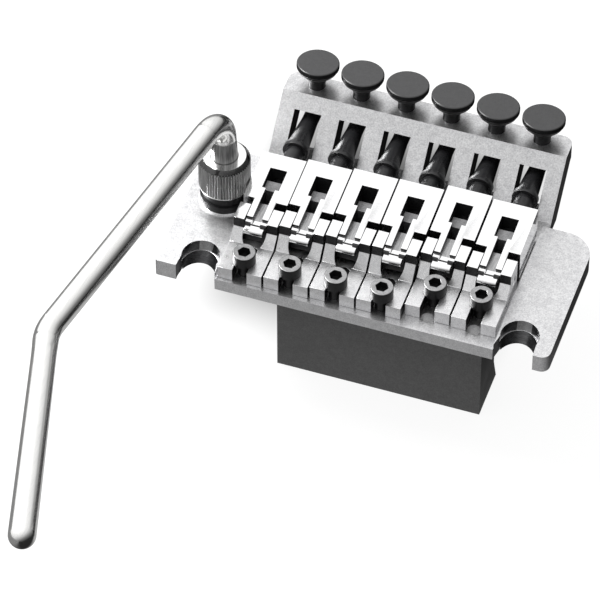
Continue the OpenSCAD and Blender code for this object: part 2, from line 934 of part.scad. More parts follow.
// A bent piece of round rod, from the X axis towards the Y axis
module tube_arc(bend, r, angle) {
    rotate_extrude(angle = angle)
        translate([bend, 0])
            circle(r);
}

base_plate();
sustain_block();
block_screws();
hold_down_screws();
leaf_springs();
leaf_spring_screws();
socket_washer();
arm_socket();
socket_nut();
thrust_ring();
collar_nut();
arm();
for (i = [0 : last_string]) {
    saddle_base(i);
    pivot_pin(i);
    saddle_block(i);
    clamp_block(i);
    lock_screw(i);
    tuner_screw(i);
    tuner_knob(i);
}
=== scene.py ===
"""Dresses a double-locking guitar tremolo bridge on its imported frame.

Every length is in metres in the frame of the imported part: the origin is the middle of the
knife-edge pivot axis, +X points to the bass side, +Y to the fine tuners and +Z up.
"""

from __future__ import annotations

import logging
import math
from dataclasses import dataclass
from enum import Enum
from typing import Callable, Iterable, Sequence

import bpy
from mathutils import Matrix, Vector

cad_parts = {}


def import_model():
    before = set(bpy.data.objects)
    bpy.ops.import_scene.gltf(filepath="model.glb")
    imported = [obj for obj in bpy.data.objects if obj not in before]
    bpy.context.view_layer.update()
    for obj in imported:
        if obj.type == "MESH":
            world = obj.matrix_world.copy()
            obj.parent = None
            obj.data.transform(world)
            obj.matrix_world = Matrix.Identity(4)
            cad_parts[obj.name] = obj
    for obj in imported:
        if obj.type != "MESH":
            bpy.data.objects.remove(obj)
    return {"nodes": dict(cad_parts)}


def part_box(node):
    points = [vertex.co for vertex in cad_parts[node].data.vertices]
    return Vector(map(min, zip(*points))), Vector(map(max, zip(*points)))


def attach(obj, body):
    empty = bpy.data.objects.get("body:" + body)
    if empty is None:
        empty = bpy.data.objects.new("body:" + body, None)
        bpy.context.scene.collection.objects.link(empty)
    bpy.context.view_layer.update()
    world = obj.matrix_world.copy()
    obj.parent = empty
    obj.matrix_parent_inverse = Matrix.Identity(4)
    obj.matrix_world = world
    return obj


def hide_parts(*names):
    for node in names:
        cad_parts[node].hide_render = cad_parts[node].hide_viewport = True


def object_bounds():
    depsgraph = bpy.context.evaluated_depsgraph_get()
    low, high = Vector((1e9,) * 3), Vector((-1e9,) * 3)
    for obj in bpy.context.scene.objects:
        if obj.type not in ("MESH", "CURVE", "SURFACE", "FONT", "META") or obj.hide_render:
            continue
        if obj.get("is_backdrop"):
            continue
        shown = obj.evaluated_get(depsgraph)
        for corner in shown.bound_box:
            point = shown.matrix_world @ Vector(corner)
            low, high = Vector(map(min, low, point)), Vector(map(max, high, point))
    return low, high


log = logging.getLogger("tremolo")

MM = 0.001
STRINGS = 6


class Slot(Enum):
    """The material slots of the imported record."""

    NICKEL = "satin_nickel"
    CHROME = "polished_chrome"
    ARM = "arm_chrome"
    BLACK = "black_steel"
    TUNER = "tuner_black"
    BLOCK = "block_grey"
    CLAMP = "clamp_grey"
    KNURL = "knurled_nickel"
    SPRING = "spring_steel"
    NYLON = "white_plastic"


class Facing:
    """How far a face looks along an axis: the part of its normal on that axis."""

    SLIGHTLY = 0.2
    SLANTED = 0.3
    HALFWAY = 0.5
    PARTLY = 0.6
    LARGELY = 0.7
    MOSTLY = 0.75
    NEARLY = 0.8
    FULLY = 0.9


class Shape(Enum):
    """How the surface pattern of a finish runs."""

    EVEN = (1.0, 1.0, 1.0)
    ALONG_X = (0.06, 1.0, 1.0)
    ALONG_Y = (1.0, 0.06, 1.0)
    ALONG_Z = (1.0, 1.0, 0.06)


# Finishes


class Groups:
    """The shader node groups that several finishes share.

    Attributes:
        GRAIN: name of the group with the fine grain.
        WEAR: name of the group with the broad patches.
        FINE_DETAIL: octaves of the grain's fine noise.
        COARSE_DETAIL: octaves of the grain's coarse noise.
        COARSE_SCALE: the coarse noise's scale, as a share of the fine one's.
        COARSE_SHARE: how much of the coarse noise is added.
        GRAIN_ENDS: noise at which the grain begins and is full.
        WEAR_DETAIL: octaves of the patches' noise.
        WEAR_DISTORTION: how twisted the patches are.
        WEAR_ENDS: noise at which a patch begins and is full.
    """

    GRAIN = "plating_grain"
    WEAR = "rubbed_patches"
    FINE_DETAIL = 2.0
    COARSE_DETAIL = 1.0
    COARSE_SCALE = 0.23
    COARSE_SHARE = 0.4
    GRAIN_ENDS = (0.48, 0.92)
    WEAR_DETAIL = 4.0
    WEAR_DISTORTION = 0.6
    WEAR_ENDS = (0.35, 0.7)

    @staticmethod
    def _new(name: str, inputs: Sequence[tuple[str, float]], outputs: Sequence[str]) -> bpy.types.NodeTree:
        """Makes an empty group with float inputs and outputs.

        Args:
            name: name of the group.
            inputs: pairs of socket name and starting value.
            outputs: names of the float outputs.

        Returns:
            The new node group.
        """
        tree = bpy.data.node_groups.new(name, "ShaderNodeTree")
        for label, value in inputs:
            socket = tree.interface.new_socket(label, in_out="INPUT", socket_type="NodeSocketFloat")
            socket.default_value = value
        for label in outputs:
            tree.interface.new_socket(label, in_out="OUTPUT", socket_type="NodeSocketFloat")
        return tree

    @classmethod
    def grain(cls) -> bpy.types.NodeTree:
        """Returns the group that gives a fine grain, as a mask and as a height."""
        found = bpy.data.node_groups.get(cls.GRAIN)
        if found:
            return found
        tree = cls._new(cls.GRAIN, [("Size", 0.3), ("Contrast", 1.0)], ["Mask", "Height"])
        run = tree.interface.new_socket("Stretch", in_out="INPUT", socket_type="NodeSocketVector")
        run.default_value = (1, 1, 1)
        nodes, links = tree.nodes, tree.links
        source, out = nodes.new("NodeGroupInput"), nodes.new("NodeGroupOutput")
        place, stretch = nodes.new("ShaderNodeTexCoord"), nodes.new("ShaderNodeVectorMath")
        stretch.operation = "MULTIPLY"
        links.new(place.outputs["Object"], stretch.inputs[0])
        links.new(source.outputs["Stretch"], stretch.inputs[1])
        pitch = nodes.new("ShaderNodeMath")
        pitch.operation = "DIVIDE"
        pitch.inputs[0].default_value = 1.0 / MM
        links.new(source.outputs["Size"], pitch.inputs[1])
        fine, coarse = nodes.new("ShaderNodeTexNoise"), nodes.new("ShaderNodeTexNoise")
        fine.inputs["Detail"].default_value = cls.FINE_DETAIL
        coarse.inputs["Detail"].default_value = cls.COARSE_DETAIL
        wide = nodes.new("ShaderNodeMath")
        wide.operation = "MULTIPLY"
        wide.inputs[1].default_value = cls.COARSE_SCALE
        links.new(pitch.outputs[0], wide.inputs[0])
        for noise, scale in ((fine, pitch), (coarse, wide)):
            links.new(stretch.outputs[0], noise.inputs["Vector"])
            links.new(scale.outputs[0], noise.inputs["Scale"])
        both = nodes.new("ShaderNodeMath")
        both.operation = "MULTIPLY_ADD"
        both.inputs[1].default_value = cls.COARSE_SHARE
        links.new(coarse.outputs["Fac"], both.inputs[0])
        links.new(fine.outputs["Fac"], both.inputs[2])
        spread = nodes.new("ShaderNodeMapRange")
        spread.inputs["From Min"].default_value = cls.GRAIN_ENDS[0]
        spread.inputs["From Max"].default_value = cls.GRAIN_ENDS[1]
        links.new(both.outputs[0], spread.inputs["Value"])
        power = nodes.new("ShaderNodeMath")
        power.operation = "POWER"
        links.new(spread.outputs["Result"], power.inputs[0])
        links.new(source.outputs["Contrast"], power.inputs[1])
        links.new(power.outputs[0], out.inputs["Mask"])
        links.new(both.outputs[0], out.inputs["Height"])
        return tree

    @classmethod
    def wear(cls) -> bpy.types.NodeTree:
        """Returns the group that gives broad, faint patches of handling and polish."""
        found = bpy.data.node_groups.get(cls.WEAR)
        if found:
            return found
        tree = cls._new(cls.WEAR, [("Size", 6.0), ("Amount", 0.5)], ["Mask"])
        nodes, links = tree.nodes, tree.links
        source, out = nodes.new("NodeGroupInput"), nodes.new("NodeGroupOutput")
        place, noise = nodes.new("ShaderNodeTexCoord"), nodes.new("ShaderNodeTexNoise")
        noise.inputs["Detail"].default_value = cls.WEAR_DETAIL
        noise.inputs["Distortion"].default_value = cls.WEAR_DISTORTION
        pitch = nodes.new("ShaderNodeMath")
        pitch.operation = "DIVIDE"
        pitch.inputs[0].default_value = 1.0 / MM
        links.new(source.outputs["Size"], pitch.inputs[1])
        links.new(place.outputs["Object"], noise.inputs["Vector"])
        links.new(pitch.outputs[0], noise.inputs["Scale"])
        spread = nodes.new("ShaderNodeMapRange")
        spread.inputs["From Min"].default_value = cls.WEAR_ENDS[0]
        spread.inputs["From Max"].default_value = cls.WEAR_ENDS[1]
        links.new(noise.outputs["Fac"], spread.inputs["Value"])
        amount = nodes.new("ShaderNodeMath")
        amount.operation = "MULTIPLY"
        links.new(spread.outputs["Result"], amount.inputs[0])
        links.new(source.outputs["Amount"], amount.inputs[1])
        links.new(amount.outputs[0], out.inputs["Mask"])
        return tree


@dataclass(frozen=True)
class Finish:
    """One surface finish, from its colour down to its grain.

    Attributes:
        name: name of the material.
        slot: the record's slot that it is meant for; not used.
        base: colour of the bare finish.
        shade: colour in the hollows of the grain.
        metallic: 1 for metal, 0 for a coating or plastic.
        rough: lowest and highest roughness.
        grain: size of the grain, in mm.
        contrast: how peaky the grain is.
        depth: how far the grain stands out, in mm.
        patch: size of the broad patches, in mm.
        patch_amount: how much the patches change the roughness.
        run: the direction in which the grain runs.
        coat: weight of a clear, glossy top layer.
        specular: strength of the coating's own reflection.
    """

    name: str
    slot: Slot
    base: tuple[float, float, float]
    shade: tuple[float, float, float]
    metallic: float
    rough: tuple[float, float]
    grain: float = 0.3
    contrast: float = 1.0
    depth: float = 0.004
    patch: float = 6.0
    patch_amount: float = 0.4
    run: Shape = Shape.EVEN
    coat: float = 0.0
    specular: float = 0.5

    def material(self) -> bpy.types.Material:
        """Builds the material once.

        Returns:
            The material, made on the first call and found again on later ones.
        """
        found = bpy.data.materials.get(self.name)
        if found:
            return found
        made = bpy.data.materials.new(self.name)
        made.use_nodes = True
        nodes, links = made.node_tree.nodes, made.node_tree.links
        shader = nodes["Principled BSDF"]
        shader.inputs["Metallic"].default_value = self.metallic
        shader.inputs["Coat Weight"].default_value = self.coat
        shader.inputs["Specular IOR Level"].default_value = self.specular
        grain = nodes.new("ShaderNodeGroup")
        grain.node_tree = Groups.grain()
        grain.inputs["Size"].default_value = self.grain
        grain.inputs["Contrast"].default_value = self.contrast
        grain.inputs["Stretch"].default_value = self.run.value
        wear = nodes.new("ShaderNodeGroup")
        wear.node_tree = Groups.wear()
        wear.inputs["Size"].default_value = self.patch
        wear.inputs["Amount"].default_value = self.patch_amount
        tint = nodes.new("ShaderNodeMix")
        tint.data_type = "RGBA"
        tint.inputs["A"].default_value = (*self.shade, 1)
        tint.inputs["B"].default_value = (*self.base, 1)
        links.new(grain.outputs["Mask"], tint.inputs["Factor"])
        links.new(tint.outputs["Result"], shader.inputs["Base Color"])
        dull = nodes.new("ShaderNodeMapRange")
        dull.inputs["To Min"].default_value = self.rough[0]
        dull.inputs["To Max"].default_value = self.rough[1]
        links.new(wear.outputs["Mask"], dull.inputs["Value"])
        links.new(dull.outputs["Result"], shader.inputs["Roughness"])
        bump = nodes.new("ShaderNodeBump")
        bump.inputs["Strength"].default_value = 1.0
        bump.inputs["Distance"].default_value = self.depth * MM
        links.new(grain.outputs["Height"], bump.inputs["Height"])
        links.new(bump.outputs["Normal"], shader.inputs["Normal"])
        return made


class Finishes:
    """Every finish of the bridge."""

    SATIN = Finish("satin_nickel_plate", Slot.NICKEL, (0.75, 0.75, 0.755), (0.50, 0.50, 0.51), 1.0,
                   (0.30, 0.42), 0.32, 1.0, 0.012, 7.0, 0.8)
    # Painted shade: dark colour for the notch walls, standing in for their shade.
    NOTCH_SHADE = Finish("painted_shade_notch_wall", Slot.NICKEL, (0.16, 0.16, 0.165), (0.08, 0.08, 0.083), 1.0,
                   (0.25, 0.4), 0.25, 1.0, 0.012, 3.0, 0.8, Shape.ALONG_X)
    CHROME = Finish("polished_saddle_chrome", Slot.CHROME, (0.93, 0.93, 0.935), (0.86, 0.86, 0.865), 1.0,
                    (0.08, 0.17), 0.45, 1.0, 0.003, 3.0, 0.8)
    FOOT = Finish("blasted_saddle_foot", Slot.CHROME, (0.80, 0.80, 0.805), (0.58, 0.58, 0.59), 1.0,
                  (0.26, 0.38), 0.25, 1.0, 0.02, 3.0, 0.8)
    # Painted shade: near-black colour for windows, hollows, ear fronts, rail ends and the flanks between
    # saddles.
    PAINTED_SHADE = Finish("painted_shade_dark", Slot.CHROME, (0.035, 0.035, 0.036), (0.012, 0.012, 0.013), 0.5,
                    (0.35, 0.55), 0.2, 1.0, 0.01, 2.0, 0.8)
    # Painted shade: grey colour for the floor of the string slot.
    CHANNEL_SHADE = Finish("painted_shade_string_channel", Slot.CHROME, (0.50, 0.50, 0.505), (0.30, 0.30, 0.305), 1.0,
                     (0.22, 0.4), 0.22, 1.0, 0.015, 1.5, 0.8, Shape.ALONG_Y)
    ARM = Finish("polished_arm_chrome", Slot.ARM, (0.93, 0.925, 0.91), (0.86, 0.86, 0.85), 1.0,
                 (0.16, 0.24), 0.5, 1.0, 0.003, 9.0, 0.8, Shape.ALONG_Y)
    # Painted dark reflection: dark grey colour for the root of the arm.
    ROOT_DARK_REFLECTION = Finish("painted_dark_reflection_arm_root", Slot.ARM, (0.40, 0.40, 0.40), (0.14, 0.14, 0.14), 1.0,
                  (0.28, 0.42), 0.35, 1.0, 0.02, 2.5, 0.8, Shape.ALONG_Z)
    BLACK = Finish("black_oxide", Slot.BLACK, (0.014, 0.014, 0.015), (0.006, 0.006, 0.0065), 0.0,
                   (0.3, 0.46), 0.25, 1.0, 0.008, 2.5, 0.8, specular=0.25)
    # Painted highlight: grey metal colour for the top ring of the black screw heads.
    RIM_HIGHLIGHT = Finish("painted_highlight_screw_rim", Slot.BLACK, (0.42, 0.42, 0.425), (0.24, 0.24, 0.243), 0.9,
                    (0.3, 0.45), 0.25, 1.0, 0.01, 1.5, 0.8)
    LOCK = Finish("black_oxide_turned", Slot.BLACK, (0.016, 0.016, 0.017), (0.008, 0.008, 0.009), 0.0,
                  (0.26, 0.38), 0.2, 1.0, 0.006, 2.5, 0.8, Shape.ALONG_X, specular=0.45)
    TUNER = Finish("matte_black_knob", Slot.TUNER, (0.036, 0.036, 0.037), (0.022, 0.022, 0.023), 0.0,
                   (0.30, 0.42), 0.22, 1.0, 0.008, 4.0, 0.8, specular=0.5)
    RIM = Finish("black_knob_rim", Slot.TUNER, (0.012, 0.012, 0.0125), (0.006, 0.006, 0.006), 0.0,
                 (0.3, 0.42), 0.2, 1.0, 0.006, 3.0, 0.8, specular=0.22)
    BLOCK = Finish("dark_block_grey", Slot.BLOCK, (0.12, 0.12, 0.12), (0.082, 0.082, 0.082), 0.0,
                   (0.5, 0.65), 0.3, 1.0, 0.008, 9.0, 0.8)
    # Painted shade: near-black colour for the sustain block's two ends.
    BLOCK_SIDE_SHADE = Finish("painted_shade_block_side", Slot.BLOCK, (0.035, 0.035, 0.035), (0.022, 0.022, 0.022), 0.0,
                        (0.5, 0.65), 0.3, 1.0, 0.008, 9.0, 0.8, specular=0.3)
    CLAMP = Finish("grey_clamp_steel", Slot.CLAMP, (0.26, 0.26, 0.265), (0.16, 0.16, 0.163), 0.6,
                   (0.4, 0.55), 0.3, 1.0, 0.012, 2.0, 0.8)
    KNURL = Finish("knurled_nickel_ring", Slot.KNURL, (0.78, 0.78, 0.775), (0.46, 0.46, 0.455), 1.0,
                   (0.24, 0.36), 0.3, 1.0, 0.008, 4.0, 0.8, Shape.ALONG_Z)
    # Painted shade: darker colour in the grooves of the knurl.
    GROOVE_SHADE = Finish("painted_shade_knurl_grooves", Slot.KNURL, (0.45, 0.45, 0.447), (0.25, 0.25, 0.248), 1.0,
                    (0.3, 0.45), 0.3, 1.0, 0.006, 2.0, 0.8, Shape.ALONG_Z)
    CROWN = Finish("polished_ring_top", Slot.KNURL, (0.92, 0.92, 0.915), (0.84, 0.84, 0.835), 1.0,
                   (0.1, 0.2), 0.4, 1.0, 0.004, 3.0, 0.8)
    # Painted dark reflection: near-black colour for the ring's chamfer.
    CHAMFER_REFLECTION = Finish("painted_dark_reflection_chamfer", Slot.KNURL, (0.11, 0.11, 0.11), (0.07, 0.07, 0.07), 1.0,
                     (0.08, 0.14), 0.3, 1.0, 0.003, 2.0, 0.8)
    SPRING = Finish("plain_spring_steel", Slot.SPRING, (0.62, 0.62, 0.63), (0.5, 0.5, 0.51), 1.0,
                    (0.28, 0.4), 0.4, 1.0, 0.006, 4.0, 0.8, Shape.ALONG_Y)
    NYLON = Finish("white_nylon", Slot.NYLON, (0.86, 0.85, 0.81), (0.8, 0.79, 0.75), 0.0,
                   (0.35, 0.5), 0.4, 1.0, 0.006, 4.0, 0.8)


# Modelling by hand


class Bench:
    """Operator work on one piece at a time.

    Attributes:
        WELD: corners nearer than this are one corner, in metres.
        FLAT: faces that meet at less than this angle are one face.
        SMOOTH: faces that meet at less than this angle shade as one.
    """

    WELD = 0.000002
    FLAT = math.radians(0.6)
    SMOOTH = math.radians(40)

    @staticmethod
    def clear() -> None:
        """Leaves edit mode and selects nothing."""
        if bpy.context.object and bpy.context.object.mode != "OBJECT":
            bpy.ops.object.mode_set(mode="OBJECT")
        bpy.ops.object.select_all(action="DESELECT")

    @classmethod
    def pick(cls, piece: bpy.types.Object) -> None:
        """Selects one piece alone and makes it the active one.

        Args:
            piece: the object to work on.
        """
        cls.clear()
        piece.select_set(True)
        bpy.context.view_layer.objects.active = piece

    @classmethod
    def copy_of(cls, node: str, name: str, parts: dict[str, bpy.types.Object]) -> bpy.types.Object:
        """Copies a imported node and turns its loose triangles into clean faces.

        Args:
            node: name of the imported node.
            name: name of the new piece.
            parts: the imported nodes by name.

        Returns:
            The new piece, with its doubles merged and flat areas dissolved.
        """
        mesh = parts[node].data.copy()
        mesh.name = name
        mesh.materials.clear()
        piece = bpy.data.objects.new(name, mesh)
        bpy.context.scene.collection.objects.link(piece)
        cls.pick(piece)
        bpy.ops.mesh.customdata_custom_splitnormals_clear()
        bpy.ops.object.mode_set(mode="EDIT")
        bpy.ops.mesh.select_all(action="SELECT")
        bpy.ops.mesh.remove_doubles(threshold=cls.WELD)
        bpy.ops.mesh.dissolve_limited(angle_limit=cls.FLAT, use_dissolve_boundaries=False)
        bpy.ops.mesh.select_all(action="DESELECT")
        bpy.ops.object.mode_set(mode="OBJECT")
        return piece

    @classmethod
    def break_edges(cls, piece: bpy.types.Object, width: float, segments: int = 2,
                    angle: float = 32.0) -> None:
        """Rounds the sharp edges of a piece and shades it smooth between them.

        Args:
            piece: the object to work on.
            width: how far each edge is cut back, in metres.
            segments: faces across each rounded edge.
            angle: edges sharper than this are rounded, in degrees.
        """
        cls.pick(piece)
        bevel = piece.modifiers.new("edges", "BEVEL")
        bevel.width = width
        bevel.segments = segments
        bevel.limit_method = "ANGLE"
        bevel.angle_limit = math.radians(angle)
        bevel.use_clamp_overlap = True
        bevel.harden_normals = False
        bevel.miter_outer = "MITER_ARC" if segments > 1 else "MITER_SHARP"
        bpy.ops.object.modifier_apply(modifier=bevel.name)
        bpy.ops.object.shade_smooth_by_angle(angle=cls.SMOOTH)
        cls.level(piece)

    @classmethod
    def level(cls, piece: bpy.types.Object) -> None:
        """Weights the normals of a piece by area, so that its large faces shade flat.

        Args:
            piece: the object to work on.
        """
        cls.pick(piece)
        weigh = piece.modifiers.new("level", "WEIGHTED_NORMAL")
        weigh.keep_sharp = True
        bpy.ops.object.modifier_apply(modifier=weigh.name)

    @staticmethod
    def dress(piece: bpy.types.Object, finish: Finish) -> None:
        """Gives a piece its finish."""
        piece.data.materials.clear()
        piece.data.materials.append(finish.material())

    @classmethod
    def score(cls, piece: bpy.types.Object, places: Iterable[float]) -> None:
        """Cuts the faces of a piece across, so that a finish can end on a straight line.

        Args:
            piece: the object to work on.
            places: the Y of each cut, in metres.
        """
        cls.pick(piece)
        bpy.ops.object.mode_set(mode="EDIT")
        for place in places:
            bpy.ops.mesh.select_all(action="SELECT")
            bpy.ops.mesh.bisect(plane_co=(0, place, 0), plane_no=(0, 1, 0), use_fill=False)
        bpy.ops.mesh.select_all(action="DESELECT")
        bpy.ops.object.mode_set(mode="OBJECT")
        cls.level(piece)

    @staticmethod
    def paint(piece: bpy.types.Object, finish: Finish, chosen: Callable[[Vector, Vector], bool]) -> None:
        """Gives some faces of a dressed piece a finish of their own.

        Args:
            piece: the object to work on.
            finish: the finish of the chosen faces.
            chosen: says from a face's centre and normal whether it is one of them.
        """
        made = finish.material()
        if made.name not in piece.data.materials:
            piece.data.materials.append(made)
        index = piece.data.materials.find(made.name)
        faces = [face for face in piece.data.polygons if chosen(face.center, face.normal)]
        for face in faces:
            face.material_index = index
        log.info("%s: %d faces with finish %s", piece.name, len(faces), finish.name)


# Sub-assemblies


@dataclass
class Assembly:
    """A sub-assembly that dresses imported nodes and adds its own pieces.

    Attributes:
        parts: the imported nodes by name.
    """

    parts: dict[str, bpy.types.Object]

    def restyle(self, node: str, finish: Finish) -> None:
        """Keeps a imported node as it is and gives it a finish.

        Args:
            node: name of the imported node.
            finish: its finish.
        """
        target = self.parts[node]
        if not target.data.materials:
            target.data.materials.append(finish.material())
        for entry in target.material_slots:
            entry.material = finish.material()
        log.info("%s: finish %s", node, finish.name)

    def refine(self, node: str, body: str, finish: Finish, width: float,
               segments: int = 2) -> bpy.types.Object:
        """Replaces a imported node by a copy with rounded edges.

        Args:
            node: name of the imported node.
            body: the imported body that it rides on.
            finish: its finish.
            width: width of the rounded edges, in metres.
            segments: faces across each rounded edge.

        Returns:
            The new piece.
        """
        piece = Bench.copy_of(node, node + "_dressed", self.parts)
        Bench.break_edges(piece, width, segments)
        Bench.dress(piece, finish)
        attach(piece, body)
        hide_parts(node)
        log.info("%s: %d faces, finish %s", piece.name, len(piece.data.polygons), finish.name)
        return piece


@dataclass
class Plate(Assembly):
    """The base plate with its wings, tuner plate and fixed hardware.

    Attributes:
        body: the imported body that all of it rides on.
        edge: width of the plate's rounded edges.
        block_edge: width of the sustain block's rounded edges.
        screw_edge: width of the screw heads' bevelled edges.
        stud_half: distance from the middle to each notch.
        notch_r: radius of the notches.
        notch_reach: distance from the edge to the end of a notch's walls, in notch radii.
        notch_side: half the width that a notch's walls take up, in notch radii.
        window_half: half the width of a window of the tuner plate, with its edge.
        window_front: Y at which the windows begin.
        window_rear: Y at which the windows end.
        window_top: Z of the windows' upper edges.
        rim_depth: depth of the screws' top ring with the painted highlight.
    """

    body: str = "bridge"
    edge: float = 0.14 * MM
    block_edge: float = 0.2 * MM
    screw_edge: float = 0.06 * MM
    stud_half: float = 37.15 * MM
    notch_r: float = 4.35 * MM
    notch_reach: float = 2.2
    notch_side: float = 1.2
    window_half: float = 3.25 * MM
    window_front: float = 29.0 * MM
    window_rear: float = 45.0 * MM
    window_top: float = 9.05 * MM
    rim_depth: float = 0.2 * MM

    def __post_init__(self) -> None:
        """Finds the middle of each saddle and the top of the screws."""
        boxes = (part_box(f"saddle_base_{n}") for n in range(1, STRINGS + 1))
        self.middles = tuple((low.x + high.x) / 2 for low, high in boxes)
        self.screw_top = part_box("hold_down_screws")[1].z

    def build(self) -> None:
        """Builds the plate, the block and the fixed screws."""
        plate = self.refine("base_plate", self.body, Finishes.SATIN, self.edge)
        # Painted shade on the walls of the knife-edge notches.
        Bench.paint(plate, Finishes.NOTCH_SHADE, self.in_notch)
        # Painted shade on the walls of the tuner plate's windows.
        Bench.paint(plate, Finishes.PAINTED_SHADE, self.in_window)
        block = self.refine("sustain_block", self.body, Finishes.BLOCK, self.block_edge)
        # Painted shade on the sustain block's two ends.
        Bench.paint(block, Finishes.BLOCK_SIDE_SHADE, self.on_block_side)
        screws = self.refine("hold_down_screws", self.body, Finishes.BLACK, self.screw_edge, 1)
        # Painted highlight on the top ring of the screw heads.
        Bench.paint(screws, Finishes.RIM_HIGHLIGHT, self.on_rim)
        for node in ("block_screws", "leaf_spring_screws"):
            self.restyle(node, Finishes.BLACK)
        self.restyle("leaf_springs", Finishes.SPRING)

    def in_notch(self, at: Vector, normal: Vector) -> bool:
        """Says whether a face is part of a knife-edge notch's wall, which gets painted shade.

        Args:
            at: centre of the face.
            normal: direction in which it looks.

        Returns:
            True for a wall of either notch.
        """
        beside = abs(abs(at.x) - self.stud_half)
        if abs(normal.z) > Facing.MOSTLY or normal.y < -Facing.FULLY:
            return False
        near = math.hypot(beside, at.y) < self.notch_r * self.notch_reach
        return near and beside < self.notch_r * self.notch_side

    def in_window(self, at: Vector, normal: Vector) -> bool:
        """Says whether a face is a wall of one of the tuner plate's windows, which gets painted shade.

        Args:
            at: centre of the face.
            normal: direction in which it looks.

        Returns:
            True for a wall of any window.
        """
        beside = min(abs(at.x - middle) for middle in self.middles)
        along = self.window_front < at.y < self.window_rear and at.z < self.window_top
        return along and beside < self.window_half and abs(normal.z) < Facing.NEARLY

    def on_block_side(self, at: Vector, normal: Vector) -> bool:
        """Says whether a face is one of the sustain block's two ends, which get painted shade."""
        return abs(normal.x) > Facing.FULLY

    def on_rim(self, at: Vector, normal: Vector) -> bool:
        """Says whether a face is the ring on top of a screw's head, which gets a painted highlight."""
        return normal.z > Facing.MOSTLY and at.z > self.screw_top - self.rim_depth


